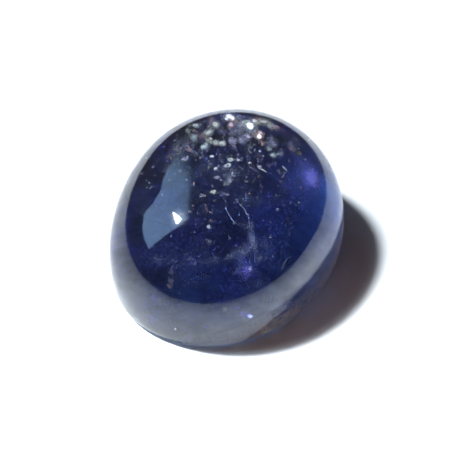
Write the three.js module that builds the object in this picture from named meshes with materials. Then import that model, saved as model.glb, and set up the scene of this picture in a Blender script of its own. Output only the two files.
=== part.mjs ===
// An oval, high-domed, polished iolite stone with a flat underside.
// Millimetres, +Z up. The origin is the middle of the flat underside, +X runs along the long way.
import * as THREE from 'three';

// ---- driving dimensions ----
const FOOT_LENGTH = 11.69;    // long way across at the foot; the wall swells to 12.0 above it
const WIDTH_RATIO = 0.8017;   // short way over long way at the foot
const HEIGHT = 5.74;          // underside to the top of the dome
const BEVEL = 0.14;           // small ground bevel round the underside's edge
const WALL_LEAN_DEG = -11.28; // how far the wall leans out where it leaves the bevel
// the dome's slope from wall to top: a polynomial in the share of the way along the section
const SLOPE = [0.5653, 0.4593, 0.3677, 0.2320];
// hand-cut unevenness of the outline and of the shoulders, as shares of the radius
const EGG = [-0.0073, -0.0076];
const TRI = [-0.0110, 0.0042];
const SQUARE = -0.0074;
const SHOULDER = [0.0112, 0.0189];
const SHOULDER_2 = [0.0041, -0.0059];
const LEAN = [0.0255, -0.0043]; // sideways drift of the section's middle per unit of height
const AROUND = 96;            // steps round the stone
const RINGS = 28;             // steps from the foot to the top

// ---- the dome's section: radius share and height share, from the wall to the top ----
function domeSection(steps) {
  const fine = 2000;
  const start = THREE.MathUtils.degToRad(WALL_LEAN_DEG);
  const last = 1 - SLOPE.reduce((a, k) => a + k, 0);
  const slope = (t) => {
    let p = last * t ** (SLOPE.length + 1);
    SLOPE.forEach((k, i) => { p += k * t ** (i + 1); });
    return start + (Math.PI / 2 - start) * p;
  };
  const r = [0], z = [0];
  for (let i = 1; i <= fine; i++) {
    const a = slope((i - 1) / fine), b = slope(i / fine);
    r.push(r[i - 1] - (Math.sin(a) + Math.sin(b)) / 2);
    z.push(z[i - 1] + (Math.cos(a) + Math.cos(b)) / 2);
  }
  const section = [];
  for (let i = 0; i <= steps; i++) {
    const j = Math.round((i / steps) * fine);
    section.push(new THREE.Vector2(1 - r[j] / r[fine], z[j] / z[fine]));
  }
  section[steps].set(0, 1);
  return section;
}

// ---- where a point of the section lies in the stone, for a direction round it ----
function place(angle, share, height) {
  const c = Math.cos(angle), s = Math.sin(angle);
  const oval = (FOOT_LENGTH / 2) / Math.hypot(c, s / WIDTH_RATIO);
  const uneven = 1
    + share * (EGG[0] * c + EGG[1] * s)
    + share ** 2 * (TRI[0] * Math.cos(3 * angle) + TRI[1] * Math.sin(3 * angle) + SQUARE * Math.cos(4 * angle))
    + 4 * share * (1 - share) * (SHOULDER[0] * c + SHOULDER[1] * s
      + SHOULDER_2[0] * Math.cos(2 * angle) + SHOULDER_2[1] * Math.sin(2 * angle));
  const r = oval * share * uneven;
  return new THREE.Vector3(r * c + LEAN[0] * height * HEIGHT, r * s + LEAN[1] * height * HEIGHT, height * HEIGHT);
}

function cabochon() {
  const section = domeSection(RINGS);
  // underside middle, underside edge, bevel, then the dome up to its top
  const foot = BEVEL / (FOOT_LENGTH / 2);
  const low = BEVEL / HEIGHT;
  const profile = [new THREE.Vector2(0, 0), new THREE.Vector2(0.5, 0), new THREE.Vector2(1 - foot, 0)];
  const above = section.filter((p) => p.y > low * 1.6);
  profile.push(new THREE.Vector2(1, low));
  profile.push(...above);
  const geometry = new THREE.LatheGeometry(profile, AROUND);
  const at = geometry.getAttribute('position');
  for (let i = 0; i < at.count; i++) {
    const x = at.getX(i), y = at.getY(i), z = at.getZ(i);
    const share = Math.hypot(x, z);
    const angle = Math.atan2(-z, x);
    const p = place(angle, share, y);
    at.setXYZ(i, p.x, p.y, p.z);
  }
  at.needsUpdate = true;
  geometry.computeBoundingBox();
  const box = geometry.boundingBox;
  geometry.translate(-(box.min.x + box.max.x) / 2, -(box.min.y + box.max.y) / 2, -box.min.z);
  geometry.computeVertexNormals();
  return geometry;
}

const stone = new THREE.Mesh(
  cabochon(),
  new THREE.MeshStandardMaterial({ color: new THREE.Color(0.035, 0.04, 0.2), roughness: 0.05, metalness: 0.0, transparent: true, opacity: 0.8 }),
);
stone.name = 'iolite_cabochon';

const part = new THREE.Group();
part.add(stone);

export default part;
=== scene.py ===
import bisect, bpy, bmesh, math, random
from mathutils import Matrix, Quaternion, Vector, noise
from mathutils.bvhtree import BVHTree


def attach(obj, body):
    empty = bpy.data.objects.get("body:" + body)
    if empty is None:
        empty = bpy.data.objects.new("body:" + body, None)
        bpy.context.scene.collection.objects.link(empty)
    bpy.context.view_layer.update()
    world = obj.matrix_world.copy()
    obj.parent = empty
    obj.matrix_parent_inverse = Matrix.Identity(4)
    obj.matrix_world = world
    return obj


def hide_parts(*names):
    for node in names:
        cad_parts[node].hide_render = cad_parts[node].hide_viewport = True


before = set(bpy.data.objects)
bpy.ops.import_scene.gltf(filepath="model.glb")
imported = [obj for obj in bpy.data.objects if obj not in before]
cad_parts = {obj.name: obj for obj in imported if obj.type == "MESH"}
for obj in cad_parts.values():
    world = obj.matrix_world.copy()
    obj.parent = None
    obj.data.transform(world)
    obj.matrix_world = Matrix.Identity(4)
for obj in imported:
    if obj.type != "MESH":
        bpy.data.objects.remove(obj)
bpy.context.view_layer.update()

# ------------------------------------------------------------------ the stone's shape, in mm, as in the CAD model
FOOT_LENGTH, WIDTH_RATIO, HEIGHT, BEVEL = 11.69, 0.8017, 5.74, 0.14
WALL_LEAN = math.radians(-11.28)
SLOPE = (0.5653, 0.4593, 0.3677, 0.2320)
EGG, TRI, SQUARE = (-0.0073, -0.0076), (-0.0110, 0.0042), -0.0074
SHOULDER, SHOULDER_2, LEAN = (0.0112, 0.0189), (0.0041, -0.0059), (0.0255, -0.0043)
IOR = 1.542
MM = 0.001


def dome_section(fine=4000):
    last = 1 - sum(SLOPE)

    def slope(t):
        p = last * t ** 5
        for i, k in enumerate(SLOPE):
            p += k * t ** (i + 1)
        return WALL_LEAN + (math.pi / 2 - WALL_LEAN) * p

    r, z = [0.0], [0.0]
    a = slope(0)
    for i in range(1, fine + 1):
        b = slope(i / fine)
        r.append(r[-1] - (math.sin(a) + math.sin(b)) / 2)
        z.append(z[-1] + (math.cos(a) + math.cos(b)) / 2)
        a = b
    return [(1 - r[i] / r[fine], z[i] / z[fine]) for i in range(fine + 1)]


SECTION = dome_section()


def place(angle, share, height):
    """A point of the section, for a direction round the stone, before it is centred."""
    c, s = math.cos(angle), math.sin(angle)
    oval = FOOT_LENGTH / 2 / math.hypot(c, s / WIDTH_RATIO)
    uneven = (
        1 + share * (EGG[0] * c + EGG[1] * s)
        + share ** 2 * (TRI[0] * math.cos(3 * angle) + TRI[1] * math.sin(3 * angle) + SQUARE * math.cos(4 * angle))
        + 4 * share * (1 - share) * (SHOULDER[0] * c + SHOULDER[1] * s
                                     + SHOULDER_2[0] * math.cos(2 * angle) + SHOULDER_2[1] * math.sin(2 * angle))
    )
    r = oval * share * uneven
    return Vector((r * c + LEAN[0] * height * HEIGHT, r * s + LEAN[1] * height * HEIGHT, height * HEIGHT))


def stone_mesh(around=336, rings=170):
    foot, low = BEVEL / (FOOT_LENGTH / 2), BEVEL / HEIGHT
    flat = [(f * (1 - foot), 0.0) for f in (0.25, 0.5, 0.7, 0.85, 0.93, 0.97, 0.99)]
    corner_a, corner_b = (1 - foot, 0.0), (1.0, low)
    up = [p for p in SECTION[:: len(SECTION) // rings] if p[1] > low * 2.2]
    # the bevel's two edges are worn round, each over a few short steps
    edge = []
    seq = [(1 - foot * 1.35, 0.0), corner_a, corner_b, (up[0][0] * 0.5 + 0.5 * 1.003, low * 1.45)]
    for (p, q, r) in ((seq[0], seq[1], seq[2]), (seq[1], seq[2], seq[3])):
        d0 = (p[0] - q[0], p[1] - q[1])
        d1 = (r[0] - q[0], r[1] - q[1])
        k = 0.30
        a0 = (q[0] + d0[0] * k, q[1] + d0[1] * k)
        a1 = (q[0] + d1[0] * k, q[1] + d1[1] * k)
        for t in (0.0, 0.25, 0.5, 0.75, 1.0):
            u = 1 - t
            edge.append((u * u * a0[0] + 2 * u * t * q[0] + t * t * a1[0], u * u * a0[1] + 2 * u * t * q[1] + t * t * a1[1]))
    profile = flat + edge + up
    bm = bmesh.new()
    bottom = bm.verts.new(place(0, 0, 0))
    rows = []
    for share, height in profile[:-1]:
        rows.append([bm.verts.new(place(2 * math.pi * i / around, share, height)) for i in range(around)])
    top = bm.verts.new(place(0, 0, 1))
    for i in range(around):
        j = (i + 1) % around
        bm.faces.new((bottom, rows[0][j], rows[0][i]))
        for lower, upper in zip(rows, rows[1:]):
            bm.faces.new((lower[i], lower[j], upper[j], upper[i]))
        bm.faces.new((rows[-1][i], rows[-1][j], top))
    lo = Vector([min(v.co[k] for v in bm.verts) for k in range(3)])
    hi = Vector([max(v.co[k] for v in bm.verts) for k in range(3)])
    shift = Vector(((lo.x + hi.x) / 2, (lo.y + hi.y) / 2, lo.z))
    for v in bm.verts:
        v.co = (v.co - shift) * MM
    for f in bm.faces:
        f.smooth = True
    mesh = bpy.data.meshes.new("stone")
    bm.to_mesh(mesh)
    bm.free()
    return mesh, shift


# ------------------------------------------------------------------ material helpers
def new_material(name):
    m = bpy.data.materials.new(name)
    m.use_nodes = True
    nt = m.node_tree
    return m, nt, nt.nodes["Principled BSDF"], nt.nodes["Material Output"]


def node(nt, kind, **values):
    n = nt.nodes.new(kind)
    for key, value in values.items():
        setattr(n, key, value)
    return n


def speckled(name, colours, roughness, metallic=0.0, scale=16000.0, depth=0.25):
    """Each island takes its own colour, and a fine mottling runs over it."""
    m, nt, p, out = new_material(name)
    geo = node(nt, "ShaderNodeNewGeometry")
    ramp = node(nt, "ShaderNodeValToRGB")
    ramp.color_ramp.interpolation = "CONSTANT" if len(colours) > 2 else "LINEAR"
    while len(ramp.color_ramp.elements) < len(colours):
        ramp.color_ramp.elements.new(0.5)
    for i, c in enumerate(colours):
        ramp.color_ramp.elements[i].position = i / len(colours)
        ramp.color_ramp.elements[i].color = (*c, 1)
    nt.links.new(geo.outputs["Random Per Island"], ramp.inputs[0])
    coord = node(nt, "ShaderNodeTexCoord")
    noise_tex = node(nt, "ShaderNodeTexNoise")
    noise_tex.inputs["Scale"].default_value = scale
    noise_tex.inputs["Detail"].default_value = 2
    nt.links.new(coord.outputs["Object"], noise_tex.inputs["Vector"])
    span = node(nt, "ShaderNodeMapRange")
    span.inputs["From Min"].default_value, span.inputs["From Max"].default_value = 0.3, 0.7
    span.inputs["To Min"].default_value, span.inputs["To Max"].default_value = 1 - depth, 1.0
    nt.links.new(noise_tex.outputs[0], span.inputs["Value"])
    mix = node(nt, "ShaderNodeMix", data_type="RGBA", blend_type="MULTIPLY")
    mix.inputs[0].default_value = 1.0
    nt.links.new(ramp.outputs[0], mix.inputs[6])
    nt.links.new(span.outputs[0], mix.inputs[7])
    nt.links.new(mix.outputs[2], p.inputs["Base Color"])
    p.inputs["Roughness"].default_value = roughness
    p.inputs["Metallic"].default_value = metallic
    return m


# ------------------------------------------------------------------ the stone
TINT = (0.097, 0.242, 0.452)     # colour of the absorption; with the density it gives each colour's loss per metre
DENSITY = 620.0
CLEAR = 0.9985                # the rest is a thin film of handling marks on the polish
FILM = (0.92, 0.96, 1.0)
GROUND = 0.5                  # roughness of the sawn and ground underside
GROUND_CLEAR = 0.55           # its fine pits send the rest of the light back
GROUND_FILM = (0.88, 0.92, 1.0)
# the colour at the underside's edge is a painted shade, dark so that the foot looks dim
GROUND_EDGE_SHADE = (0.22, 0.15, 0.10)

mesh, shift = stone_mesh()
stone = bpy.data.objects.new("stone_body", mesh)
bpy.context.collection.objects.link(stone)


def gem(name, roughness, film, clear):
    m, nt, p, out = new_material(name)
    p.inputs["Base Color"].default_value = (*film, 1)
    p.inputs["Roughness"].default_value = roughness
    p.inputs["IOR"].default_value = IOR
    p.inputs["Transmission Weight"].default_value = clear
    vol = node(nt, "ShaderNodeVolumeAbsorption")
    vol.inputs["Color"].default_value = (*TINT, 1)
    vol.inputs["Density"].default_value = DENSITY
    nt.links.new(vol.outputs[0], out.inputs["Volume"])
    return m


stone.data.materials.append(gem("iolite", 0.0, FILM, CLEAR))
ground = gem("iolite_ground", GROUND, GROUND_FILM, GROUND_CLEAR)
nt = ground.node_tree
# the grinding is palest in the middle and cloudy all over; towards the edge it turns dull brown, a painted shade that
# keeps the foot of the stone dim and less blue
coord = node(nt, "ShaderNodeTexCoord")
oval = node(nt, "ShaderNodeVectorMath", operation="MULTIPLY")
oval.inputs[1].default_value = (1 / 0.0058, 1 / 0.0047, 0.0)
nt.links.new(coord.outputs["Object"], oval.inputs[0])
reach = node(nt, "ShaderNodeVectorMath", operation="LENGTH")
nt.links.new(oval.outputs[0], reach.inputs[0])
edge = node(nt, "ShaderNodeMapRange", interpolation_type="SMOOTHSTEP")
edge.inputs["From Min"].default_value, edge.inputs["From Max"].default_value = 0.28, 0.74
nt.links.new(reach.outputs["Value"], edge.inputs["Value"])
cloud = node(nt, "ShaderNodeTexNoise")
cloud.inputs["Scale"].default_value = 900.0
cloud.inputs["Detail"].default_value = 4
cloud.inputs["Roughness"].default_value = 0.62
nt.links.new(coord.outputs["Object"], cloud.inputs["Vector"])
patch = node(nt, "ShaderNodeMapRange", interpolation_type="SMOOTHSTEP")
patch.inputs["From Min"].default_value, patch.inputs["From Max"].default_value = 0.34, 0.64
patch.inputs["To Min"].default_value, patch.inputs["To Max"].default_value = 0.40, 1.0
nt.links.new(cloud.outputs[0], patch.inputs["Value"])
pale_to_shaded = node(nt, "ShaderNodeMix", data_type="RGBA")
pale_to_shaded.inputs[6].default_value = (*GROUND_FILM, 1)
pale_to_shaded.inputs[7].default_value = (*GROUND_EDGE_SHADE, 1)
nt.links.new(edge.outputs[0], pale_to_shaded.inputs[0])
film = node(nt, "ShaderNodeMix", data_type="RGBA", blend_type="MULTIPLY")
film.inputs[0].default_value = 1.0
nt.links.new(pale_to_shaded.outputs[2], film.inputs[6])
nt.links.new(patch.outputs[0], film.inputs[7])
nt.links.new(film.outputs[2], nt.nodes["Principled BSDF"].inputs["Base Color"])
stone.data.materials.append(ground)
for f in stone.data.polygons:
    if f.normal.z < -0.9:
        f.material_index = 1
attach(stone, "root")
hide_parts("iolite_cabochon")

# ------------------------------------------------------------------ camera, at the photograph's viewing angle
TURN = math.radians(69.242)   # the stone's long way, turned from the camera's right
LOOK = math.radians(42.0)     # the camera looks down by this
DIST = 233.8 * MM
PX = 23.321e3                 # pixels per metre at the stone
ahead = Vector((math.cos(LOOK) * math.sin(TURN), math.cos(LOOK) * math.cos(TURN), -math.sin(LOOK)))
right = Vector((math.cos(TURN), -math.sin(TURN), 0))
above = right.cross(ahead)
flat_ahead = Vector((math.sin(TURN), math.cos(TURN), 0))
target = Vector((-shift.x, -shift.y, 0.45 * HEIGHT)) * MM
eye = target - ahead * DIST + right * ((230 - 224.67) / PX) + above * ((211.856 - 230) / PX)
cam_data = bpy.data.cameras.new("camera")
cam_data.sensor_width = 36
cam_data.lens = 18 / ((230 / PX) / DIST)
cam_data.clip_start, cam_data.clip_end = 0.01, 10
cam = bpy.data.objects.new("camera", cam_data)
cam.location = eye
cam.rotation_mode = "QUATERNION"
cam.rotation_quaternion = ahead.to_track_quat("-Z", "Y")
bpy.context.collection.objects.link(cam)
bpy.context.scene.camera = cam


def sight(px, py):
    """The line of sight through a pixel of the 460 x 460 view."""
    return (ahead * DIST + right * ((px - 230) / PX) - above * ((py - 230) / PX)).normalized()


def to_part(azimuth, elevation):
    """A direction given from the camera's side: azimuth 0 is away from the camera, 90 to its right."""
    a, e = math.radians(azimuth), math.radians(elevation)
    return (flat_ahead * math.cos(a) + right * math.sin(a)) * math.cos(e) + Vector((0, 0, math.sin(e)))


SUN = to_part(-77.5, 59.0)
DUST = 36000

# ------------------------------------------------------------------ places inside the stone
tree = BVHTree.FromPolygons([v.co.copy() for v in mesh.vertices], [tuple(f.vertices) for f in mesh.polygons])


def bent(d, n):
    """The direction of a ray after it enters the stone."""
    c, r = -d.dot(n), 1 / IOR
    return (d * r + n * (r * c - math.sqrt(1 - r * r * (1 - c * c)))).normalized()


def entry(px, py):
    """Where the line of sight through a pixel enters the stone, its way on inside, and the way to the lamp."""
    d = sight(px, py)
    hit, n, index, far = tree.ray_cast(eye, d)
    if hit is None:
        return None
    n = Vector()
    for v in mesh.polygons[index].vertices:
        n += mesh.vertices[v].normal / ((mesh.vertices[v].co - hit).length + 1e-7)
    n.normalize()
    return hit, bent(d, n), -bent(-SUN, n) if SUN.dot(n) > 0.02 else SUN.copy()


def within(px, py, depth):
    """A point that shows at a pixel, so deep (mm) along the bent line of sight, with that line and the way to the lamp."""
    got = entry(px, py)
    if got is None:
        return None
    hit, t, lamp = got
    room = tree.ray_cast(hit + t * 0.00002, t)[3]
    if room is None or depth * MM > room - 0.00005:
        return None
    return hit + t * depth * MM, t, lamp


def clear_of_skin(q, gap=0.06):
    hit, n, index, far = tree.find_nearest(q)
    return (q - hit).dot(n) < -gap * MM


class Bits:
    """Many small closed solids in one mesh."""

    def __init__(self, name, material):
        self.name, self.material, self.bm, self.count = name, material, bmesh.new(), 0

    def slab(self, loop, normal, thick):
        half = normal * (thick * MM / 2)
        low = [self.bm.verts.new(q - half) for q in loop]
        top = [self.bm.verts.new(q + half) for q in loop]
        self.bm.faces.new(top)
        self.bm.faces.new(low[::-1])
        n = len(loop)
        for i in range(n):
            self.bm.faces.new((low[i], low[(i + 1) % n], top[(i + 1) % n], top[i]))
        self.count += 1

    def grain(self, q, r, rng):
        a = Vector((rng.gauss(0, 1), rng.gauss(0, 1), rng.gauss(0, 1))).normalized()
        b = a.orthogonal().normalized()
        c = a.cross(b)
        r *= MM
        v = [self.bm.verts.new(q + b * r), self.bm.verts.new(q + (b * -0.5 + c * 0.87) * r),
             self.bm.verts.new(q + (b * -0.5 - c * 0.87) * r), self.bm.verts.new(q + a * r * 0.7)]
        for f in ((0, 2, 1), (0, 1, 3), (1, 2, 3), (2, 0, 3)):
            self.bm.faces.new([v[i] for i in f])
        self.count += 1

    def puff(self, px, py, long, short, angle, depth, cover, rng, size=0.014, soft=0.22, hollow=0.0):
        """A soft-edged cloud of fine grains that shows at a pixel with the given size (px), turn and density."""
        if within(px, py, depth) is None:
            return False
        ca, sa = math.cos(math.radians(angle)), math.sin(math.radians(angle))
        for k in range(int(cover * math.pi / 4 * long * short / (0.88 * (size * PX / 1000) ** 2))):
            a = rng.uniform(0, 2 * math.pi)
            f = math.sqrt(hollow * hollow + (1 - hollow * hollow) * rng.random()) * abs(1 + soft * rng.gauss(0, 1))
            f *= 1 + 0.16 * math.sin(2 * a + px) + 0.10 * math.sin(3 * a + py)
            u, v = long / 2 * math.cos(a) * f, short / 2 * math.sin(a) * f
            got = within(px + u * ca - v * sa, py + u * sa + v * ca, depth + rng.gauss(0, 0.02))
            if got is not None and clear_of_skin(got[0], 0.025):
                self.grain(got[0], size * rng.uniform(0.6, 1.35), rng)
        return True

    def plate(self, px, py, long, short, angle, depth, light, rng, thick=0.012, corners=7, hole=0.0, toward=None):
        """A thin platelet that shows at a pixel with the given size (px), turn and brightness."""
        spot = within(px, py, depth)
        if spot is None:
            return False
        q, t, lamp = spot
        if toward is not None:
            lamp = -bent(-toward, tree.find_nearest(q)[1])
        # a plate is brightest where it mirrors the lamp to the viewer, and dims as it tilts away from that
        half = (lamp - t).normalized()
        tilt = 0.0
        while tilt < 1.1 and 1 / (math.cos(tilt) ** 4 * (1 + (math.tan(tilt) / 0.30) ** 2) ** 2) > light * 0.32:
            tilt += 0.02
        side = half.orthogonal().normalized()
        over = half.cross(side)
        for attempt in range(12):
            swing = rng.uniform(0, 2 * math.pi)
            n = (half * math.cos(tilt) + (over * math.cos(swing) + side * math.sin(swing)) * math.sin(tilt)).normalized()
            if n.dot(-t) > 0.45 and n.dot(lamp) > 0.25:
                break
        ca, sa = math.cos(math.radians(angle)), math.sin(math.radians(angle))

        def rim(scale, jitter):
            pts = []
            for k in range(corners):
                a = 2 * math.pi * (k + rng.uniform(-0.22, 0.22)) / corners
                f = scale * rng.uniform(1 - jitter, 1 + jitter * 0.6)
                u, v = long / 2 * math.cos(a) * f, short / 2 * math.sin(a) * f
                got = entry(px + u * ca - v * sa, py + u * sa + v * ca)
                if got is None:
                    return None
                e, way = got[0], got[1]
                pts.append(e + way * ((q - e).dot(n) / way.dot(n)))
            if (pts[1] - pts[0]).cross(pts[2] - pts[1]).dot(n) < 0:
                pts.reverse()
            return pts

        outer = rim(1.0, 0.22)
        if outer is None or any(not clear_of_skin(v, 0.03) for v in outer):
            return False
        if hole <= 0:
            self.slab(outer, n, thick)
            return True
        inner = [q + (v - q) * hole * rng.uniform(0.65, 1.25) for v in outer]
        half = n * (thick * MM / 2)
        rows = [[self.bm.verts.new(v + s) for v in loop] for loop, s in ((outer, -half), (outer, half), (inner, half), (inner, -half))]
        k = len(outer)
        for a, b in zip(rows, rows[1:] + rows[:1]):
            for i in range(k):
                self.bm.faces.new((a[i], a[(i + 1) % k], b[(i + 1) % k], b[i]))
        self.count += 1
        return True

    def ribbon(self, points, width, depth, light, rng, thick=0.012):
        """A thin strip along a line of pixels: the edge of a fracture."""
        spots = []
        steps = []
        for (a, b) in zip(points, points[1:]):
            n = max(2, int(math.hypot(b[0] - a[0], b[1] - a[1]) / 1.6))
            steps += [(a[0] + (b[0] - a[0]) * i / n, a[1] + (b[1] - a[1]) * i / n) for i in range(n)]
        steps.append(points[-1])
        for i, (x, y) in enumerate(steps):
            share = i / (len(steps) - 1)
            got = within(x + rng.uniform(-0.25, 0.25), y + rng.uniform(-0.25, 0.25), depth + 0.15 * math.sin(share * 5 + depth * 9))
            if got is not None:
                spots.append((got, math.sin(math.pi * (0.12 + 0.76 * share)) * rng.uniform(0.75, 1.15)))
        if len(spots) < 3:
            return
        rings = []
        for i, ((q, t, lamp), fat) in enumerate(spots):
            run = (spots[min(i + 1, len(spots) - 1)][0][0] - spots[max(i - 1, 0)][0][0]).normalized()
            n = lamp * light - t * (1 - light)
            n = (n - run * run.dot(n)).normalized()
            w = n.cross(run).normalized()
            hw = w * (width * fat / 2 / PX)
            ht = n * (thick * MM / 2)
            rings.append([self.bm.verts.new(q + hw - ht), self.bm.verts.new(q + hw + ht), self.bm.verts.new(q - hw + ht), self.bm.verts.new(q - hw - ht)])
        for a, b in zip(rings, rings[1:]):
            for i in range(4):
                self.bm.faces.new((a[i], a[(i + 1) % 4], b[(i + 1) % 4], b[i]))
        self.bm.faces.new(rings[0][::-1])
        self.bm.faces.new(rings[-1])
        self.count += 1

    def done(self):
        bmesh.ops.recalc_face_normals(self.bm, faces=self.bm.faces)
        me = bpy.data.meshes.new(self.name)
        self.bm.to_mesh(me)
        self.bm.free()
        ob = bpy.data.objects.new(self.name, me)
        ob.data.materials.append(self.material)
        bpy.context.collection.objects.link(ob)
        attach(ob, "root")
        print(self.name, self.count, "bits,", sum(len(f.vertices) - 2 for f in me.polygons), "triangles")
        return ob


silver = Bits("platelets_silver", speckled("mica_silver", [(0.98, 0.88, 0.78), (0.95, 0.90, 0.84), (1.0, 0.86, 0.74)], 0.55, 0.9))
cream = Bits("platelets_cream", speckled("mica_cream", [(0.98, 0.80, 0.58), (0.90, 0.72, 0.52), (0.98, 0.84, 0.66)], 0.55, 0.85))
copper = Bits("platelets_copper", speckled("platelet_copper", [(0.78, 0.42, 0.30), (0.62, 0.33, 0.25), (0.88, 0.56, 0.42)], 0.55, 0.7))
brown = Bits("platelets_brown", speckled("platelet_brown", [(0.36, 0.25, 0.18), (0.28, 0.20, 0.17), (0.42, 0.33, 0.22)], 0.6, 0.3))
lilac = Bits("platelets_lilac", speckled("platelet_lilac", [(0.90, 0.72, 0.78), (0.80, 0.68, 0.76), (0.96, 0.76, 0.74)], 0.55, 0.85))
teal = Bits("platelets_teal", speckled("platelet_teal", [(0.84, 0.86, 0.76), (0.76, 0.80, 0.74), (0.90, 0.90, 0.76)], 0.55, 0.85))
pearl = Bits("platelets_pearl", speckled("mica_pearl", [(0.62, 0.66, 1.0), (0.70, 0.72, 1.0), (0.56, 0.60, 1.0)], 0.30, 0.9))
glint = Bits("platelets_violet", speckled("platelet_violet", [(0.46, 0.40, 1.0), (0.56, 0.46, 1.0), (0.36, 0.34, 0.96)], 0.55, 0.85))
soft_white = Bits("clouds_white", speckled("cloud_white", [(1.0, 0.94, 0.82), (0.96, 0.95, 0.88)], 0.8))
soft_cream = Bits("clouds_cream", speckled("cloud_cream", [(0.97, 0.89, 0.66), (0.91, 0.85, 0.64), (0.97, 0.94, 0.76)], 0.8))
soft_rose = Bits("clouds_rose", speckled("cloud_rose", [(0.98, 0.56, 0.44), (0.84, 0.48, 0.38), (1.0, 0.66, 0.52)], 0.8))
soft_lilac = Bits("clouds_lilac", speckled("cloud_lilac", [(0.82, 0.71, 0.80), (0.72, 0.66, 0.80), (0.88, 0.74, 0.76)], 0.8))
soft_teal = Bits("clouds_teal", speckled("cloud_teal", [(0.84, 0.90, 0.78), (0.78, 0.84, 0.76), (0.92, 0.92, 0.78)], 0.8))
cracks = Bits("fracture_lines", speckled("fracture", [(0.60, 0.60, 0.76), (0.48, 0.49, 0.68)], 0.6, 0.0, depth=0.6))
dark = Bits("dark_lines", speckled("line_dark", [(0.006, 0.007, 0.022), (0.010, 0.010, 0.028)], 0.9))
dark.material.node_tree.nodes["Principled BSDF"].inputs["Specular IOR Level"].default_value = 0.1
haze = Bits("fine_dust", speckled("dust", [(0.14, 0.16, 0.87), (0.22, 0.21, 0.92), (0.10, 0.13, 0.78)], 0.8))
wisps = Bits("healed_veils", speckled("veil", [(0.70, 0.66, 0.72), (0.60, 0.57, 0.66)], 0.7))
# violet veils; by the right-hand edge and around the low glints they make a painted glow of focused light
violet = Bits("violet_veils_and_painted_glow", speckled("veil_violet_and_painted_glow", [(0.38, 0.30, 1.0), (0.46, 0.36, 1.0), (0.30, 0.27, 0.95)], 0.7))
# brown film on the shaded wall: a painted reflection of the shadow on the sheet
shadow_reflection_film = Bits("foot_painted_shadow_reflection", speckled("painted_shadow_reflection_brown", [(0.45, 0.37, 0.35), (0.32, 0.27, 0.27), (0.54, 0.45, 0.42)], 0.85))
# grey film on the front of the wall: a painted reflection of the pale sheet
floor_reflection_film = Bits("foot_painted_floor_reflection", speckled("painted_floor_reflection_grey", [(0.50, 0.50, 0.56), (0.42, 0.43, 0.49), (0.58, 0.57, 0.62)], 0.85))
# pale yellowish film along the foot: a painted highlight on the worn bevel
foot_highlight_film = Bits("foot_painted_highlight", speckled("painted_highlight_pale", [(0.92, 0.80, 0.62), (0.74, 0.64, 0.52), (0.98, 0.88, 0.70)], 0.85))
rust = Bits("brown_specks", speckled("speck_brown", [(0.15, 0.10, 0.06), (0.20, 0.10, 0.07), (0.12, 0.11, 0.06)], 0.7))
# pale violet grains that make a painted glow around the bright spots
painted_glow = Bits("violet_painted_glow", speckled("painted_glow_violet", [(0.60, 0.52, 1.0), (0.52, 0.46, 1.0), (0.70, 0.62, 1.0)], 0.7))
# brown grains by the foot on the shaded side: partly specks, partly painted shade
foot = Bits("foot_veil_and_painted_shade", speckled("veil_brown_and_painted_shade", [(0.84, 0.50, 0.32), (0.40, 0.24, 0.17), (0.98, 0.64, 0.42)], 0.8))

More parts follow.
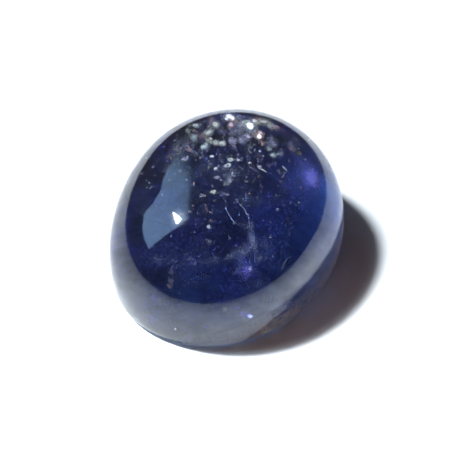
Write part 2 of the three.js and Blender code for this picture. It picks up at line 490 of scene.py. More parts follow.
# soft clouds, each by the pixel where it shows: x, y, long, short (px), turn, depth (mm), density, kind
rng = random.Random(2203)
for x, y, long, short, angle, depth, cover, kind in (
    (229.2, 116.8, 13.0, 9.5, 10, 0.52, 0.8, soft_white), (250.4, 126.0, 14.0, 13.5, 160, 0.52, 0.8, soft_white), (246.0, 122.5, 8.0, 5.0, 20, 0.34, 0.5, soft_cream), (259.2, 136.0, 9.0, 8.0, 0, 0.52, 0.7, soft_rose),
    (259.6, 132.8, 6.5, 4.0, 10, 0.34, 0.45, soft_rose), (261.5, 121.4, 17.0, 6.0, 175, 0.34, 0.42, soft_cream), (256, 119.0, 10, 5, 170, 0.36, 0.25, soft_rose),
    (270.5, 125.6, 9.5, 6.0, 12, 0.40, 0.46, soft_cream), (276.0, 126.6, 7.0, 4.5, 20, 0.40, 0.34, soft_rose),
    (215.6, 124.4, 9.0, 7.6, 26, 0.40, 0.50, soft_cream), (211.9, 119.7, 6.5, 5.0, 100, 0.40, 0.24, soft_rose),
    (195.5, 125.4, 10.0, 5.4, 5, 0.45, 0.36, soft_teal), (187.8, 131.4, 5.6, 5.2, 30, 0.45, 0.32, soft_cream), (193.8, 137.0, 6.8, 5.4, 20, 0.45, 0.55, soft_teal),
    (193.8, 130.6, 4.0, 2.6, 155, 0.40, 0.35, soft_rose), (208.2, 132.4, 10.5, 6.6, 150, 0.45, 0.48, soft_cream), (200.6, 136.0, 7.0, 5.0, 170, 0.50, 0.16, soft_rose),
    (208.2, 140.2, 8.0, 5.0, 20, 0.42, 0.22, soft_cream), (215.2, 142.7, 6.0, 5.0, 10, 0.40, 0.5, soft_cream), (221.6, 143.2, 8.4, 5.4, 5, 0.38, 0.62, soft_cream),
    (204.6, 146.8, 7.8, 5.8, 150, 0.36, 0.58, soft_teal), (232.4, 141.0, 9.0, 6.0, 15, 0.45, 0.44, soft_lilac), (231.2, 125.2, 8.0, 6.0, 90, 0.50, 0.34, soft_rose),
    (236.5, 131.4, 17.0, 9.0, 170, 0.60, 0.16, soft_lilac), (243.8, 139.6, 12.0, 8.0, 160, 0.60, 0.22, soft_lilac), (248.4, 136.4, 8.0, 6.0, 30, 0.50, 0.22, soft_lilac),
    (271.9, 142.4, 12.0, 11.0, 110, 0.70, 0.14, soft_lilac), (262.3, 143.2, 6.0, 4.4, 20, 0.45, 0.20, soft_rose), (269.2, 148.7, 5.0, 4.6, 120, 0.40, 0.22, soft_teal),
    (273.4, 155.1, 7.2, 5.0, 10, 0.38, 0.42, soft_teal), (280.0, 153.8, 9.0, 5.4, 170, 0.50, 0.18, soft_teal), (238.4, 117.6, 4.6, 7.0, 80, 0.36, 0.40, soft_teal),
    (233.8, 119.8, 6.0, 3.4, 20, 0.36, 0.34, soft_rose), (295.1, 140.2, 8.0, 6.0, 20, 0.60, 0.04, soft_rose), (291.0, 148.8, 12.0, 6.4, 25, 0.80, 0.06, soft_rose),
    (250.2, 147.8, 5.4, 4.2, 10, 0.50, 0.08, soft_teal), (257.4, 155.2, 7.4, 5.2, 15, 0.60, 0.07, soft_rose), (248.2, 156.0, 9.0, 8.0, 60, 0.70, 0.07, soft_lilac),
    (195.6, 153.8, 8.4, 5.2, 20, 0.60, 0.11, soft_lilac), (217.8, 150.6, 5.4, 4.4, 10, 0.60, 0.06, soft_rose), (235.0, 148.0, 7.0, 6.0, 40, 0.50, 0.09, soft_lilac),
    (184.6, 158.7, 7.4, 4.4, 160, 0.36, 0.42, soft_lilac), (189.1, 149.7, 5.2, 3.6, 10, 0.36, 0.32, soft_rose), (178.0, 150.0, 12.0, 9.0, 60, 0.80, 0.10, soft_rose), (176.0, 148.0, 34.0, 22.0, 130, 0.70, 0.03, soft_teal), (186.0, 146.0, 26.0, 16.0, 150, 0.70, 0.02, soft_lilac),
    (170.5, 157.0, 10.0, 8.0, 130, 0.80, 0.10, soft_rose), (166.0, 170.0, 9.0, 8.0, 130, 0.80, 0.08, soft_lilac), (187.0, 143.0, 11.0, 8.0, 140, 0.70, 0.05, soft_lilac),
    (240.0, 124.5, 12.0, 7.0, 10, 0.60, 0.22, soft_lilac), (222.0, 131.0, 12.0, 8.0, 150, 0.70, 0.07, soft_lilac), (205.0, 121.5, 12.0, 5.0, 160, 0.60, 0.07, soft_lilac),
    (284.0, 131.0, 11.0, 6.0, 30, 0.60, 0.02, soft_rose), (301.0, 162.0, 8.0, 7.0, 60, 0.80, 0.03, soft_rose), (289.8, 162.4, 8.0, 6.0, 20, 0.60, 0.06, brown),
    (213.3, 191.8, 9.0, 4.4, 172, 0.36, 0.22, soft_cream), (202.8, 195.6, 7.4, 3.6, 5, 0.36, 0.2, soft_lilac), (208.8, 226.8, 5.4, 4.4, 20, 0.36, 0.2, soft_white),
    (210.0, 242.6, 8.0, 5.4, 10, 0.50, 0.05, soft_cream), (211.0, 221.4, 7.0, 3.6, 10, 0.60, 0.07, soft_rose), (206.2, 211.6, 5.0, 3.0, 170, 0.40, 0.1, soft_rose),
    (187.6, 259.2, 7.0, 5.0, 160, 0.80, 0.05, soft_cream), (260.2, 258.0, 5.4, 3.6, 10, 0.60, 0.07, soft_cream), (270.2, 236.6, 4.0, 3.4, 60, 0.36, 0.12, soft_teal),
    (284.5, 172.8, 5.8, 5.2, 20, 0.50, 0.06, soft_cream), (279.3, 171.2, 6.4, 5.2, 20, 0.40, 0.06, soft_cream), (270.0, 164.6, 12.0, 3.0, 172, 0.40, 0.1, soft_rose),
    (224.8, 309.4, 5.6, 4.4, 30, 0.40, 0.16, soft_cream), (250.0, 316.2, 7.4, 5.2, 15, 0.60, 0.6, painted_glow), (243.4, 314.0, 6.4, 3.4, 10, 0.36, 0.60, painted_glow),
    (250.6, 308.8, 3.4, 2.4, 150, 0.36, 0.55, painted_glow), (237.4, 307.4, 5.4, 3.6, 10, 0.40, 0.18, violet), (256.8, 302.8, 4.0, 3.0, 10, 0.40, 0.16, violet), (246.5, 315.0, 14.0, 7.5, 20, 0.60, 0.32, painted_glow),
    (188.7, 337.5, 9.0, 6.0, 15, 0.25, 0.14, violet), (180.8, 341.0, 6.0, 4.0, 15, 0.25, 0.14, violet), (154.0, 297.0, 12.0, 9.0, 60, 0.40, 0.07, violet),
    (152.0, 322.0, 12.0, 7.0, 40, 0.30, 0.08, violet), (112.6, 250.0, 7.0, 12.0, 170, 0.30, 0.08, violet), (172.0, 270.0, 5.0, 10.0, 0, 0.60, 0.07, soft_lilac),
    (170.3, 284.0, 6.4, 11.0, 12, 0.60, 0.07, soft_rose), (181.5, 214.5, 22.0, 3.4, 170, 0.60, 0.06, soft_rose),
    # the violet glow by the right-hand edge, and the smaller ones low in the body: painted glows, clouds of pale violet
    # grains that stand in for focused light
    (313.8, 178.0, 14.0, 21.0, 165, 0.50, 0.50, violet), (313.8, 178.6, 11.0, 14.0, 165, 0.40, 0.50, painted_glow), (311.0, 177.0, 28.0, 40.0, 160, 0.50, 0.14, violet),
    (249.8, 269.0, 5.4, 5.0, 0, 0.45, 1.0, painted_glow), (246.6, 269.0, 6.0, 5.0, 0, 0.50, 0.12, painted_glow), (246.5, 270.0, 15.0, 19.0, 0, 0.60, 0.16, violet),
    (287.0, 186.0, 24.0, 15.0, 160, 0.80, 0.04, violet), (270.0, 196.0, 26.0, 18.0, 20, 0.90, 0.008, violet), (303.0, 205.0, 20.0, 26.0, 160, 0.80, 0.015, violet),
    (232.4, 173.2, 4.0, 4.0, 0, 0.36, 0.22, wisps), (230.2, 180.6, 7.0, 4.6, 150, 0.36, 0.36, wisps), (217.4, 177.3, 5.0, 3.6, 10, 0.40, 0.30, soft_lilac),
    (231.0, 176.0, 24.0, 14.0, 150, 0.60, 0.07, wisps), (214.0, 210.0, 16.0, 10.0, 160, 0.80, 0.02, soft_teal), (226.0, 184.0, 8.0, 3.6, 170, 0.45, 0.24, soft_cream),
    (246.4, 181.3, 6.4, 3.0, 10, 0.50, 0.08, soft_cream), (253.8, 180.6, 5.4, 4.0, 20, 0.50, 0.06, soft_rose), (258.0, 283.0, 34.0, 24.0, 160, 0.60, 0.03, wisps), (246.0, 198.0, 40.0, 22.0, 10, 0.70, 0.03, wisps), (292.0, 146.0, 30.0, 20.0, 40, 0.90, 0.02, soft_lilac), (225.0, 168.0, 56.0, 30.0, 10, 1.00, 0.045, soft_lilac),
):
    thick = 1.5 if kind in (violet, painted_glow) else 2.1 if cover < 0.3 and y < 150 else 1.7
    wide = 1.12 if y < 150 and cover < 0.6 else 1.0
    if not kind.puff(x, y, long * wide, short * wide, angle, depth * (0.55 if y < 150 else 0.8), cover * thick, rng, soft=0.5 if kind in (violet, painted_glow) or cover < 0.08 else 0.32 if y < 150 else 0.26):
        print("no room for the cloud at", x, y)

# crisp platelets: x, y, long, short (px), turn, depth (mm), light, kind, hole
rng = random.Random(4021)
LARGE = [
    (229.0, 116.4, 6.4, 5.0, 26, 0.22, 2.4, silver, 0), (250.4, 126.2, 6.8, 8.4, 140, 0.20, 4.0, silver, 0), (259.2, 136.4, 4.6, 4.2, 173, 0.18, 3.2, silver, 0), (232.8, 118.0, 3.6, 3.2, 10, 0.22, 1.5, silver, 0), (254.8, 120.8, 5.0, 3.2, 20, 0.22, 1.2, silver, 0), (226.4, 119.0, 3.0, 2.4, 40, 0.22, 1.4, silver, 0),
    (215.4, 124.2, 5.6, 4.6, 26, 0.26, 0.6, silver, 0), (263.5, 121.6, 7.0, 2.6, 5, 0.24, 0.2, lilac, 0), (260.0, 132.8, 4.6, 2.6, 10, 0.22, 1.3, lilac, 0),
    (231.0, 124.6, 4.0, 4.4, 90, 0.26, 0.24, lilac, 0), (208.4, 132.4, 6.0, 3.4, 150, 0.26, 0.26, silver, 0), (248.4, 136.8, 4.6, 3.0, 20, 0.26, 0.14, lilac, 0),
    (216.2, 143.0, 3.6, 2.8, 10, 0.28, 0.36, silver, 0), (210.8, 138.6, 3.6, 2.4, 20, 0.28, 0.18, silver, 0), (195.4, 125.2, 6.0, 3.0, 5, 0.28, 0.1, cream, 0),
    (221.8, 143.0, 5.0, 3.2, 2, 0.30, 0.62, silver, 0), (204.4, 146.6, 3.8, 2.8, 157, 0.30, 0.26, teal, 0),
    (211.9, 156.2, 4.6, 2.6, 172, 0.3, 0.55, silver, 0), (238.1, 160.0, 4.0, 2.6, 4, 0.3, 0.48, silver, 0),
    (230.5, 159.7, 7.0, 3.8, 179, 0.3, 0.52, teal, 0.35), (227.6, 165.4, 7.6, 4.2, 170, 0.35, 0.34, silver, 0.42),
    (215.8, 168.4, 4.8, 2.8, 168, 0.3, 0.52, silver, 0), (217.2, 177.2, 4.0, 2.4, 177, 0.35, 0.22, silver, 0.3),
    (272.6, 155.0, 4.0, 2.6, 6, 0.36, 0.40, teal, 0), (246.4, 176.9, 1.8, 1.4, 0, 0.3, 0.25, silver, 0),
    (259.2, 166.6, 4.6, 2.4, 10, 0.3, 0.55, silver, 0), (258.8, 167.6, 4.0, 1.6, 60, 0.35, 0.2, silver, 0), (262.6, 169.8, 9.4, 1.5, 28, 0.35, 0.22, teal, 0),
    (284.6, 168.2, 6.8, 1.6, 45, 0.4, 0.24, teal, 0), (229.8, 180.6, 4.0, 1.8, 150, 0.36, 0.4, silver, 0),
    (232.4, 173.0, 2.6, 1.8, 142, 0.33, 0.22, silver, 0), (213.1, 191.6, 6.2, 2.8, 171, 0.34, 0.18, cream, 0),
    (203.4, 195.2, 5.4, 1.2, 12, 0.34, 0.15, silver, 0), (201.0, 196.6, 3.0, 1.0, 10, 0.34, 0.2, silver, 0), (227.6, 194.7, 2.8, 2.4, 40, 0.36, 0.13, lilac, 0),
    (182.6, 159.2, 3.0, 1.4, 161, 0.33, 0.16, silver, 0), (187.2, 157.4, 1.4, 3.0, 10, 0.33, 0.16, silver, 0), (185.6, 160.2, 2.2, 1.2, 20, 0.33, 0.12, silver, 0),
    (299.6, 153.9, 5.0, 4.6, 28, 0.45, 0.02, brown, 0.4), (208.6, 226.6, 3.4, 2.8, 27, 0.34, 0.09, silver, 0), (222.3, 193.7, 5.0, 4.2, 20, 0.36, 0.20, lilac, 0.7),
    (149.3, 182.8, 2.0, 1.8, 55, 0.35, 0.20, teal, 0), (152.0, 186.4, 1.6, 1.2, 57, 0.35, 0.20, teal, 0), (146.2, 180.4, 1.6, 1.2, 57, 0.35, 0.10, teal, 0), (150.2, 188.0, 1.4, 1.1, 7, 0.35, 0.12, teal, 0), (153.2, 167.0, 3.0, 1.8, 157, 0.35, 0.05, cream, 0),
    (147.0, 187.6, 2.0, 1.2, 10, 0.35, 0.20, teal, 0), (141.8, 173.4, 3.6, 2.2, 0, 0.4, 0.03, cream, 0), (180.0, 171.0, 4.0, 3.4, 0, 0.45, 0.02, brown, 0.4),
    (187.0, 173.2, 3.6, 1.6, 10, 0.4, 0.02, brown, 0), (169.8, 180.0, 4.0, 2.2, 20, 0.45, 0.04, cream, 0), (210.4, 212.0, 3.0, 2.0, 30, 0.5, 0.03, brown, 0),
    (190.0, 211.6, 3.6, 2.2, 20, 0.4, 0.1, teal, 0.4), (249.9, 268.9, 2.0, 1.8, 19, 0.22, 1.6, silver, 0), (175.3, 329.0, 2.4, 2.0, 58, 0.22, 0.8, silver, 0),
    (277.5, 209.5, 3.4, 3.0, 10, 0.5, 0.02, teal, 0.3), (281.6, 182.0, 4.2, 2.4, 17, 0.5, 0.06, cream, 0),
    (252.2, 168.2, 7.6, 1.0, 30, 0.4, 0.07, lilac, 0), (256.6, 171.0, 4.0, 1.0, 28, 0.4, 0.06, lilac, 0), (241.0, 167.6, 7.0, 0.8, 35, 0.4, 0.06, lilac, 0),
]
for x, y, long, short, angle, depth, light, kind, hole in LARGE:
    if not kind.plate(x, y, long, short, angle, depth, light if y < 150 else light * 0.7, rng, corners=rng.choice((7, 8, 9)), hole=hole):
        print("no room for the platelet at", x, y)

# the ones low in the front mirror the pale sheet before the stone
for x, y, long, short, light in ((250.0, 316.2, 4.8, 3.2, 9.0), (245.8, 314.4, 2.4, 1.8, 1.0), (250.6, 308.8, 2.6, 2.0, 0.9), (243.0, 312.4, 1.6, 1.4, 0.6), (206.0, 327.6, 5.0, 1.2, 0.05)):
    if not pearl.plate(x, y, long, short, 19, 0.20, light, rng, toward=to_part(171, -20)):
        print("no room for the pearly platelet at", x, y)

# the many small ones, thickest in the upper part of the stone
rng = random.Random(77)
made = 0
while made < 230:
    a, b = rng.gauss(0, 1), rng.gauss(0, 1)
    if rng.random() < 0.72:
        x, y = 232 + a * 34, 158 + b * 19
    else:
        x, y = 216 + a * 46, 208 + b * 44
    near = max(0.0, 1 - abs(y - 160) / 45)
    kind = rng.choices((silver, cream, copper, brown, lilac, teal), (2 + 3 * near, 3, 1.6, 3, 5, 2 + near))[0]
    size = rng.uniform(0.7, 1.5) * (1 + 0.7 * near * rng.random())
    light = min(0.5, rng.expovariate(14.0) * (0.35 + 0.65 * near) + 0.015)
    if x < 194 or 236 < x < 250 and 162 < y < 174:
        light *= 0.25
    if kind is lilac:
        light *= 0.6
    if rng.random() < 0.04 * near:
        light = 1.2
    if kind.plate(x, y, size * rng.uniform(1.0, 1.7), size, rng.uniform(0, 180), rng.uniform(0.15, 1.4), light, rng, thick=0.008, corners=rng.choice((5, 6))):
        made += 1

# dull brownish specks through the middle of the stone
rng = random.Random(613)
for k in range(62):
    if k < 34:
        x, y = 276 + rng.gauss(0, 18), 184 + rng.gauss(0, 22)
    elif k < 50:
        x, y = 202 + rng.gauss(0, 9), 212 + rng.gauss(0, 12)
    else:
        x, y = 236 + rng.gauss(0, 30), 205 + rng.gauss(0, 30)
    size = rng.uniform(1.5, 2.9)
    if x > 190 and y > 150:
        rust.puff(x, y, size * rng.uniform(1.0, 1.5), size, rng.uniform(0, 180), rng.uniform(0.25, 0.6), rng.uniform(0.35, 0.9), rng, size=0.012, soft=0.3)
for x, y, size in ((190.4, 258.2, 4.0), (187.0, 254.0, 3.0), (176.0, 262.0, 2.6), (208.6, 241.0, 4.4), (260.4, 257.0, 3.6), (205.4, 207.6, 3.2), (211.6, 220.8, 3.6), (279.4, 170.8, 4.4), (262.6, 146.0, 4.0), (169.6, 286.0, 5.0), (171.0, 280.0, 4.4), (171.8, 273.0, 3.4)):
    rust.puff(x, y, size * 1.2, size, 10, 0.45, 0.42, rng, size=0.012, soft=0.3)

# a cluster of violet flakes behind each violet glow
rng = random.Random(58)
for x, y, wide, high, count, light, deep in ((314.2, 178.6, 2.4, 3.6, 70, 0.20, 0.45), (249.8, 268.8, 0.7, 0.7, 14, 0.8, 0.45), (246.6, 271.0, 2.6, 4.4, 22, 0.03, 0.45), (246.0, 314.8, 2.8, 1.2, 12, 0.30, 0.45)):
    for k in range(count):
        u, v = rng.gauss(0, 1), rng.gauss(0, 1)
        share = math.exp(-(u * u + v * v) / 2)
        glint.plate(x + u * wide, y + v * high, rng.uniform(1.0, 2.0), rng.uniform(0.9, 1.5), rng.uniform(0, 180), deep + rng.uniform(0.0, 0.4), light * (0.45 + 0.8 * share), rng, thick=0.006, corners=5)

# fracture lines
rng = random.Random(5)
cracks.ribbon([(235.6, 198.4), (237.4, 201), (239.2, 203.8)], 2.1, 0.5, 0.35, rng)
cracks.ribbon([(239, 203.4), (243.7, 208.3), (246.9, 214.2), (249.2, 218.8)], 1.5, 0.5, 0.30, rng)
cracks.ribbon([(248.9, 217.4), (249.3, 220.6)], 1.8, 0.5, 0.3, rng)
cracks.ribbon([(226.2, 205.6), (225.6, 208.2), (226.6, 210.4)], 1.7, 0.5, 0.25, rng)
cracks.ribbon([(226.4, 209.6), (228.2, 213.3), (231.4, 218.8), (234.6, 222.4)], 1.1, 0.5, 0.22, rng)
cracks.ribbon([(234.8, 222.8), (239.2, 225.2)], 0.5, 0.5, 0.2, rng)
cracks.ribbon([(240.4, 226.2), (245.6, 229.3)], 0.5, 0.5, 0.2, rng)
cracks.ribbon([(247.8, 227.2), (248.8, 224), (249.2, 220.6)], 0.6, 0.5, 0.2, rng)
cracks.ribbon([(222.2, 197.4), (225.6, 201), (226.6, 205)], 0.5, 0.5, 0.12, rng)
cracks.ribbon([(239.4, 211.6), (238.8, 215), (239.6, 217.6)], 0.5, 0.6, 0.14, rng)
cracks.ribbon([(228.8, 242.6), (229.2, 238.4), (228.6, 234)], 0.4, 0.7, 0.12, rng)
cracks.ribbon([(249.8, 259), (249.6, 266)], 0.5, 0.5, 0.2, rng)
cracks.ribbon([(254.8, 252), (254.7, 268)], 0.35, 0.6, 0.12, rng)
cracks.ribbon([(238.8, 258), (239.4, 268)], 0.3, 0.7, 0.10, rng)
for k in range(6):
    x = 196.4 + k * 2.5
    y = 273.6 + rng.uniform(-0.8, 0.8)
    dark.ribbon([(x + 0.6, y - 1.9), (x + 1.4, y + 0.2), (x + 0.6, y + 2.2), (x - 0.6, y + 3.2)], 0.9, 0.26, 0.0, rng)
for k in range(9):
    x = 181 + k * 3.1
    y = 281 + rng.uniform(-2.5, 2.5)
    cracks.ribbon([(x + 1.2, y - 1.4), (x, y + 1.6)], 0.36, 0.6, 0.06, rng)
for line, wide in (([(282.4, 264.0), (286.6, 260.0), (291.0, 256.2)], 0.5), ([(281.4, 266.6), (284.6, 263.4), (288.4, 260.4)], 0.3), ([(280.6, 269.0), (284.8, 265.4), (289.2, 262.0)], 0.45)):
    cracks.ribbon(line, wide, 0.24, 0.15, rng)
    dark.ribbon([(x + 0.9, y + 1.1) for x, y in line], 0.7, 0.30, 0.0, rng)
for x in (263, 266.5, 270):
    cracks.ribbon([(x, 292), (x + 1.4, 297), (x + 0.2, 303)], 0.3, 0.4, 0.2, rng)
cracks.ribbon([(219.0, 318.8), (223.0, 318.4)], 0.4, 0.3, 0.3, rng)
cracks.ribbon([(205.6, 328.2), (212.0, 328.0)], 0.5, 0.3, 0.4, rng)
cracks.ribbon([(211, 251.0), (215.6, 249.0)], 0.4, 0.6, 0.10, rng)

# healed veils: sheets of the finest grains
rng = random.Random(91)


def veil(count, where, depth, size=0.009):
    made = 0
    tries = 0
    while made < count and tries < count * 30:
        tries += 1
        x, y, share = where(rng)
        wave = noise.noise(Vector((x * 0.11, y * 0.11, depth * 3)))
        if rng.random() > 0.45 + 0.9 * wave:
            continue
        got = within(x, y, depth + 0.25 * wave + rng.gauss(0, 0.02))
        if got is None:
            continue
        wisps.grain(got[0], size * rng.uniform(0.6, 1.4), rng)
        made += 1


def along(points, spread):
    def pick(r):
        k = r.uniform(0, len(points) - 1.0001)
        i = int(k)
        f = k - i
        x = points[i][0] * (1 - f) + points[i + 1][0] * f
        y = points[i][1] * (1 - f) + points[i + 1][1] * f
        return x + r.gauss(0, spread), y + r.gauss(0, spread * 0.7), f
    return pick


veil(760, along([(250, 222), (250, 230), (252, 238), (252, 242)], 2.3), 0.55, 0.012)
veil(300, along([(254, 244), (258, 254), (262, 262)], 3.0), 0.55, 0.012)
veil(260, along([(244, 256), (238, 268), (240, 278)], 3.4), 0.60, 0.012)
veil(860, along([(252, 240), (251, 246), (247, 250), (241, 253.5)], 3.6), 0.55, 0.012)
veil(230, along([(256, 238), (264, 244), (266, 250)], 4.4), 0.7, 0.012)
veil(1000, along([(241, 253), (230, 256), (218, 258.5), (204, 262), (186, 264), (166, 262), (150, 257)], 3.8), 0.7, 0.012)
veil(200, along([(262, 240), (258, 250), (266, 262), (272, 252), (285, 240)], 5.0), 0.9, 0.012)
veil(170, along([(276, 262), (282, 262), (286, 259)], 4.6), 0.7, 0.012)
veil(200, along([(289, 218), (290, 232), (285, 246), (279, 256)], 2.0), 0.7, 0.012)
veil(160, along([(205, 268), (190, 274), (176, 280), (168, 288)], 5.0), 0.8)
veil(900, along([(215, 118), (232, 126), (250, 132), (268, 136), (285, 146)], 8.0), 0.7)
veil(900, along([(180, 140), (196, 150), (215, 160), (235, 166), (262, 160)], 10.0), 0.8)
veil(900, along([(200, 160), (196, 178), (200, 196), (205, 214)], 7.0), 0.8)
veil(700, along([(160, 160), (150, 175), (144, 195), (140, 215)], 6.0), 0.9)
veil(500, along([(275, 205), (285, 195), (295, 185), (300, 200)], 8.0), 0.9)
veil(500, along([(150, 230), (165, 246), (185, 250), (205, 246)], 7.0), 0.9)

# fine blue dust under the polished skin, in drifts
rng = random.Random(11)
skin = [f for f in mesh.polygons if f.center.z > 0.0004]
shaded = Vector((math.cos(math.radians(-100)), math.sin(math.radians(-100)), 0))
weights, run = [], 0.0
for f in skin:
    run += f.area
    weights.append(run)
while haze.count < DUST:
    f = skin[bisect.bisect_left(weights, rng.random() * run)]
    a, b = [mesh.vertices[v].co for v in f.vertices[:2]]
    deep = rng.uniform(0.07, 1.15)
    q = f.center + (a - b) * rng.uniform(-0.5, 0.5) - f.normal * deep * MM
    drift = noise.noise(q * 620.0) + 0.6 * noise.noise(q * 1700.0) + 0.4 * noise.noise(q * 4300.0)
    if rng.random() > (0.42 + 0.95 * drift) * (0.86 + 0.022e3 * q.dot(right)) or q.z < 0.00005:
        continue
    # low on the shaded side most grains are left out: painted shade that keeps the foot there darker and less blue
    if q.z < 0.0019 and q.dot(shaded) > 0.0022 and rng.random() < 0.85:
        continue
    if q.dot(right) > 0.0012 and q.dot(flat_ahead) < 0.0008 and rng.random() < 0.2:
        continue
    haze.grain(q, 0.013 * rng.uniform(0.6, 1.4), rng)

# a cloudy brownish veil close to the foot, on the shaded side of the stone, partly brownish specks and partly painted
# shade that dims the foot; and a thin streaky brownish film on its wall, a painted reflection of the shadow on the
# sheet
rng = random.Random(303)
up_wall = [(h, s) for s, h in SECTION if h < 0.5]


def on_wall(angle, h, inset):
    k = max(1, bisect.bisect_left(up_wall, (h, 0.0)))
    (h0, s0), (h1, s1) = up_wall[k - 1], up_wall[k]
    share = s0 + (s1 - s0) * (h - h0) / (h1 - h0)
    q = (place(angle, share * (1 - inset / 5.2), h) - shift) * MM
    # near the worn bevel the point is moved in to lie on the stone, or just inside it
    hit, out = tree.find_nearest(q)[:2]
    over = (q - hit).dot(out) + min(inset, 0.03) * MM
    return q - out * over if over > 0 else q


while foot.count < 19500:
    angle = math.radians(rng.uniform(-160, -38))
    h = rng.uniform(0.012, 0.19)
    q = on_wall(angle, h, rng.uniform(0.03, 0.34))
    ends = min(1.0, (math.degrees(angle) + 160) / 12, (-38 - math.degrees(angle)) / 20)
    drift = noise.noise(q * 1500.0) + 0.7 * noise.noise(q * 3600.0)
    low = 1.0 if h < 0.13 else (0.19 - h) / 0.06
    if rng.random() > (0.45 + 0.9 * drift) * ends * low:
        continue
    foot.grain(q, 0.015 * rng.uniform(0.6, 1.5), rng)


def film(bits, count, outline, size, even, rng, soft, ends):
    """Grains spread thinly over the wall; the outline gives part angle, lowest and highest z (mm) along the foot."""
    made = 0
    while made < count:
        degrees = rng.uniform(outline[0][0], outline[-1][0])
        k = max(i for i, o in enumerate(outline[:-1]) if o[0] <= degrees)
        (d0, low0, top0), (d1, low1, top1) = outline[k], outline[k + 1]
        f = (degrees - d0) / (d1 - d0)
        low, top = low0 + (low1 - low0) * f, top0 + (top1 - top0) * f
        z = rng.uniform(0.04, 2.2)
        if not low < z < top:
            continue
        angle = math.radians(degrees)
        fade = min(1.0, (top - z) / soft, (z - low + 0.04) / soft, (degrees - outline[0][0]) / ends, (outline[-1][0] - degrees) / ends)
        streak = noise.noise(Vector((angle * 5.0 + z * 0.6, z * 5.0, 0.4))) + 0.6 * noise.noise(Vector((angle * 14.0, z * 17.0, 2.4)))
        if rng.random() > (even + (1.2 - even) * streak) * fade:
            continue
        bits.grain(on_wall(angle, z / HEIGHT, -0.005), size * rng.uniform(0.6, 1.4), rng)
        made += 1


# brown grains over the shaded wall, up to where the wall stops mirroring the shadow on the sheet: a painted reflection
# of that shadow
film(shadow_reflection_film, 10100, [(-144, 0.03, 0.7), (-141, 0.03, 0.9), (-135, 0.03, 1.15), (-127, 0.03, 1.35), (-120, 0.03, 1.5), (-112, 0.03, 1.7), (-100, 0.03, 1.95), (-90, 0.03, 2.1), (-64, 0.03, 2.1), (-46, 0.03, 1.8)], 0.012, 0.62, rng, 0.22, 6)
# grey grains low on the front of the wall: a painted reflection of the pale sheet in front, carried down to the foot
film(floor_reflection_film, 14700, [(-178, 0.03, 0.44), (-170, 0.03, 0.68), (-164, 0.03, 0.93), (-158, 0.03, 1.15), (-151, 0.20, 1.35), (-147, 0.45, 1.45), (-143, 0.72, 1.51), (-138, 0.96, 1.56), (-132, 1.14, 1.62), (-126, 1.28, 1.66)], 0.0125, 0.95, rng, 0.12, 15)
# more of the same painted shadow reflection, low on the front of the wall
film(shadow_reflection_film, 2400, [(-155, 0.12, 0.40), (-147, 0.12, 0.78), (-140, 0.12, 1.02), (-132, 0.12, 1.10), (-124, 0.12, 0.90)], 0.013, 0.85, rng, 0.15, 5)
# pale yellowish grains along the worn bevel: a painted highlight of light caught at the foot's edge
film(foot_highlight_film, 1900, [(-146, 0.13, 0.34), (-141, 0.12, 0.46), (-136, 0.12, 0.42), (-131, 0.03, 0.30), (-126, 0.03, 0.20), (-60, 0.03, 0.17)], 0.012, 0.40, rng, 0.08, 4)

for bits in (silver, cream, copper, brown, lilac, teal, pearl, glint, soft_white, soft_cream, soft_rose, soft_lilac, soft_teal, cracks, dark, haze, wisps, violet, painted_glow, rust, foot, shadow_reflection_film, floor_reflection_film, foot_highlight_film):
    bits.done()

# ------------------------------------------------------------------ floor, a pale sheet with a painted fall-off of light
SHEET = 0.030


def floor_sheet(radius=SHEET, steps=128):
    bm = bmesh.new()
    ring = [bm.verts.new((radius * math.cos(2 * math.pi * i / steps), radius * math.sin(2 * math.pi * i / steps), 0)) for i in range(steps)]
    bm.faces.new(ring)
    me = bpy.data.meshes.new("floor")
    bm.to_mesh(me)
    bm.free()
    return me


floor = bpy.data.objects.new("floor", floor_sheet())
floor.location.z = -0.00001
bpy.context.collection.objects.link(floor)
m, nt, p, out = new_material("paper_with_painted_falloff")
# the sheet is palest in front of the stone and a little greyer behind it and further out: a painted fall-off of the
# light on it
coord = node(nt, "ShaderNodeTexCoord")
away = node(nt, "ShaderNodeVectorMath", operation="DOT_PRODUCT")
away.inputs[1].default_value = (flat_ahead - right * 0.15).normalized()
nt.links.new(coord.outputs["Object"], away.inputs[0])
back = node(nt, "ShaderNodeMapRange", interpolation_type="SMOOTHSTEP")
back.inputs["From Min"].default_value, back.inputs["From Max"].default_value = -0.0055, 0.0020
back.inputs["To Min"].default_value, back.inputs["To Max"].default_value = 1.0, 0.0
nt.links.new(away.outputs["Value"], back.inputs["Value"])
reach = node(nt, "ShaderNodeVectorMath", operation="LENGTH")
nt.links.new(coord.outputs["Object"], reach.inputs[0])
far = node(nt, "ShaderNodeMapRange", interpolation_type="SMOOTHSTEP")
far.inputs["From Min"].default_value, far.inputs["From Max"].default_value = 0.006, 0.022
far.inputs["To Min"].default_value, far.inputs["To Max"].default_value = 1.0, 0.0
nt.links.new(reach.outputs["Value"], far.inputs["Value"])
both = node(nt, "ShaderNodeMath", operation="MULTIPLY")
nt.links.new(back.outputs[0], both.inputs[0])
nt.links.new(far.outputs[0], both.inputs[1])
shade = node(nt, "ShaderNodeMix", data_type="RGBA")
shade.inputs[6].default_value = (0.376, 0.358, 0.332, 1)
shade.inputs[7].default_value = (0.85, 0.81, 0.745, 1)
nt.links.new(both.outputs[0], shade.inputs[0])
nt.links.new(shade.outputs[2], p.inputs["Base Color"])
p.inputs["Roughness"].default_value = 1.0
p.inputs["Specular IOR Level"].default_value = 0.0
floor.data.materials.append(m)

# ------------------------------------------------------------------ light
LAMP_POWER = 12.0             # light on a surface that faces the lamp, in W/m2
LAMP_AT = 1.0


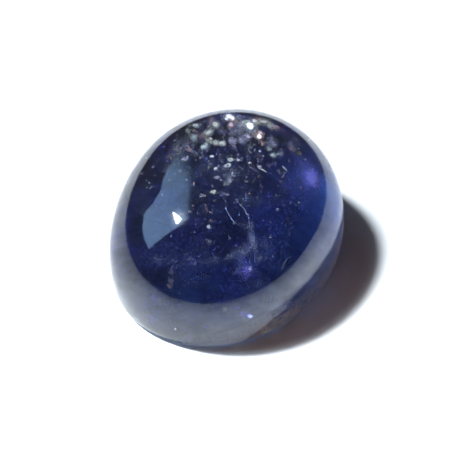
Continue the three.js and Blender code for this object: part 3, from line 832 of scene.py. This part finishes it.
def lamp(name, way, across, along, turn):
    data = bpy.data.lights.new(name, "AREA")
    data.shape = "ELLIPSE"
    data.size, data.size_y = across, along
    data.energy = LAMP_POWER * math.pi * LAMP_AT ** 2
    data.color = (0.88, 1.0, 1.16)
    ob = bpy.data.objects.new(name, data)
    ob.location = way * LAMP_AT
    ob.rotation_mode = "QUATERNION"
    ob.rotation_quaternion = (-way).to_track_quat("-Z", "Y") @ Quaternion((0, 0, 1), math.radians(turn))
    bpy.context.collection.objects.link(ob)
    return ob


# a broad lamp for the sheet and its soft shadow, and its small bright core for the polish and the inside of the stone
broad = lamp("broad_lamp", to_part(-71.0, 54.8), 0.165, 0.20, 0)
broad.visible_glossy = False
core = lamp("lamp_core", SUN, 0.050, 0.078, -20)
core.visible_diffuse = False

world = bpy.data.worlds.new("room")
bpy.context.scene.world = world
world.use_nodes = True
wt = world.node_tree
wt.nodes.clear()
w_out = wt.nodes.new("ShaderNodeOutputWorld")
coord = wt.nodes.new("ShaderNodeTexCoord")


def w_math(op, a, b=None, clamp=False):
    n = wt.nodes.new("ShaderNodeMath")
    n.operation, n.use_clamp = op, clamp
    for i, v in enumerate((a, b)):
        if v is None:
            continue
        if isinstance(v, (int, float)):
            n.inputs[i].default_value = v
        else:
            wt.links.new(v, n.inputs[i])
    return n.outputs[0]


def inside(corners, softness):
    """1 inside a convex outline of directions, with a soft step at each edge."""
    dirs = [to_part(*c) for c in corners]
    middle = sum(dirs, Vector()).normalized()
    total = None
    for i, d in enumerate(dirs):
        n = d.cross(dirs[(i + 1) % len(dirs)]).normalized()
        if n.dot(middle) < 0:
            n = -n
        dot = wt.nodes.new("ShaderNodeVectorMath")
        dot.operation = "DOT_PRODUCT"
        wt.links.new(coord.outputs["Generated"], dot.inputs[0])
        dot.inputs[1].default_value = n
        ramp = wt.nodes.new("ShaderNodeMapRange")
        ramp.interpolation_type = "SMOOTHSTEP"
        soft = softness[i]
        ramp.inputs["From Min"].default_value = -soft
        ramp.inputs["From Max"].default_value = soft
        wt.links.new(dot.outputs["Value"], ramp.inputs["Value"])
        total = ramp.outputs[0] if total is None else w_math("MULTIPLY", total, ramp.outputs[0])
    return total


ROOM = (0.086, 0.057, 0.047)       # the light that the room gives to rough surfaces
ROOM_SEEN = (0.058, 0.047, 0.056)  # the room as the polish mirrors it
WINDOW = (1.45, 2.4, 4.05)
LOWER = (0.30, 0.50, 0.80)
main = inside([(-57.6, 30.6), (-63, 22.7), (-71.5, 20.0), (-79.3, 18.9), (-94.6, 21), (-96.5, 40), (-93.5, 59.1), (-82.9, 67.3), (-50, 65.5), (-47, 46)],
              [0.02, 0.025, 0.025, 0.025, 0.025, 0.025, 0.025, 0.05, 0.07, 0.02])
joint = inside([(-44, 35.4), (-48.8, 33.6), (-57.6, 30.8), (-66, 27.5), (-66, 52), (-44, 52)], [0.02, 0.02, 0.02, 0.02, 0.02, 0.02])
lower = inside([(-60, 18), (-94.6, 21), (-96.5, 40), (-93.5, 59.1), (-78, 64)], [0.03, 0.03, 0.03, 0.03, 0.20])
arm = inside([(-29.0, 22.0), (-39, 30.0), (-48.8, 33.6), (-62, 36), (-64, 64), (-34.6, 60.1), (-26.5, 53.4), (-21, 40)],
             [0.035, 0.03, 0.02, 0.02, 0.07, 0.06, 0.11, 0.18])
spark = inside([(-68, 54.2), (-68.5, 56.4), (-80, 63.2), (-84.5, 62), (-87.6, 58.8), (-81.5, 56.9)], [0.012] * 6)
glow = inside([(-67.6, 55.5), (-68.5, 64.0), (-87.6, 64.5), (-87.6, 55.5)], [0.085] * 4)
flare = inside([(-79, 60), (-76, 69), (-84, 69.5), (-81.5, 60)], [0.03] * 4)
# where the outlines meet, the brightest one counts
pane = w_math("MAXIMUM", w_math("MAXIMUM", main, joint), w_math("MULTIPLY", arm, 0.92))
sky = wt.nodes.new("ShaderNodeTexNoise")
sky.inputs["Scale"].default_value = 7.0
sky.inputs["Detail"].default_value = 3
wt.links.new(coord.outputs["Generated"], sky.inputs["Vector"])
pane = w_math("MULTIPLY", pane, w_math("ADD", 0.72, w_math("MULTIPLY", sky.outputs[0], 0.56)))
path = wt.nodes.new("ShaderNodeLightPath")
# rough surfaces take little of the window's light, which keeps the shadow on the sheet warm
soft_share = w_math("SUBTRACT", 1.0, w_math("MULTIPLY", path.outputs["Is Diffuse Ray"], 0.85))


def light(colour, share=None):
    n = wt.nodes.new("ShaderNodeBackground")
    n.inputs["Color"].default_value = (*colour, 1)
    n.inputs["Strength"].default_value = 1.0
    if share is not None:
        wt.links.new(share, n.inputs["Strength"])
    return n.outputs[0]


def add(a, b):
    n = wt.nodes.new("ShaderNodeAddShader")
    wt.links.new(a, n.inputs[0])
    wt.links.new(b, n.inputs[1])
    return n.outputs[0]


lit = add(light(ROOM, path.outputs["Is Diffuse Ray"]), light(ROOM_SEEN, w_math("SUBTRACT", 1.0, path.outputs["Is Diffuse Ray"])))
for colour, shape in ((WINDOW, pane), (LOWER, lower), ((40, 44, 48), spark), ((5.4, 6.2, 7.0), glow), ((1.5, 2.0, 2.8), flare)):
    lit = add(lit, light(colour, w_math("MULTIPLY", shape, soft_share)))
pale = wt.nodes.new("ShaderNodeBackground")
pale.inputs["Color"].default_value = (1.6, 1.6, 1.6, 1)
both = wt.nodes.new("ShaderNodeMixShader")
wt.links.new(path.outputs["Is Camera Ray"], both.inputs[0])
wt.links.new(lit, both.inputs[1])
wt.links.new(pale.outputs[0], both.inputs[2])
wt.links.new(both.outputs[0], w_out.inputs["Surface"])

scene = bpy.context.scene
scene.view_settings.view_transform = "Standard"
scene.view_settings.look = "None"

# ------------------------------------------------------------------ update the view layer
bpy.context.view_layer.update()
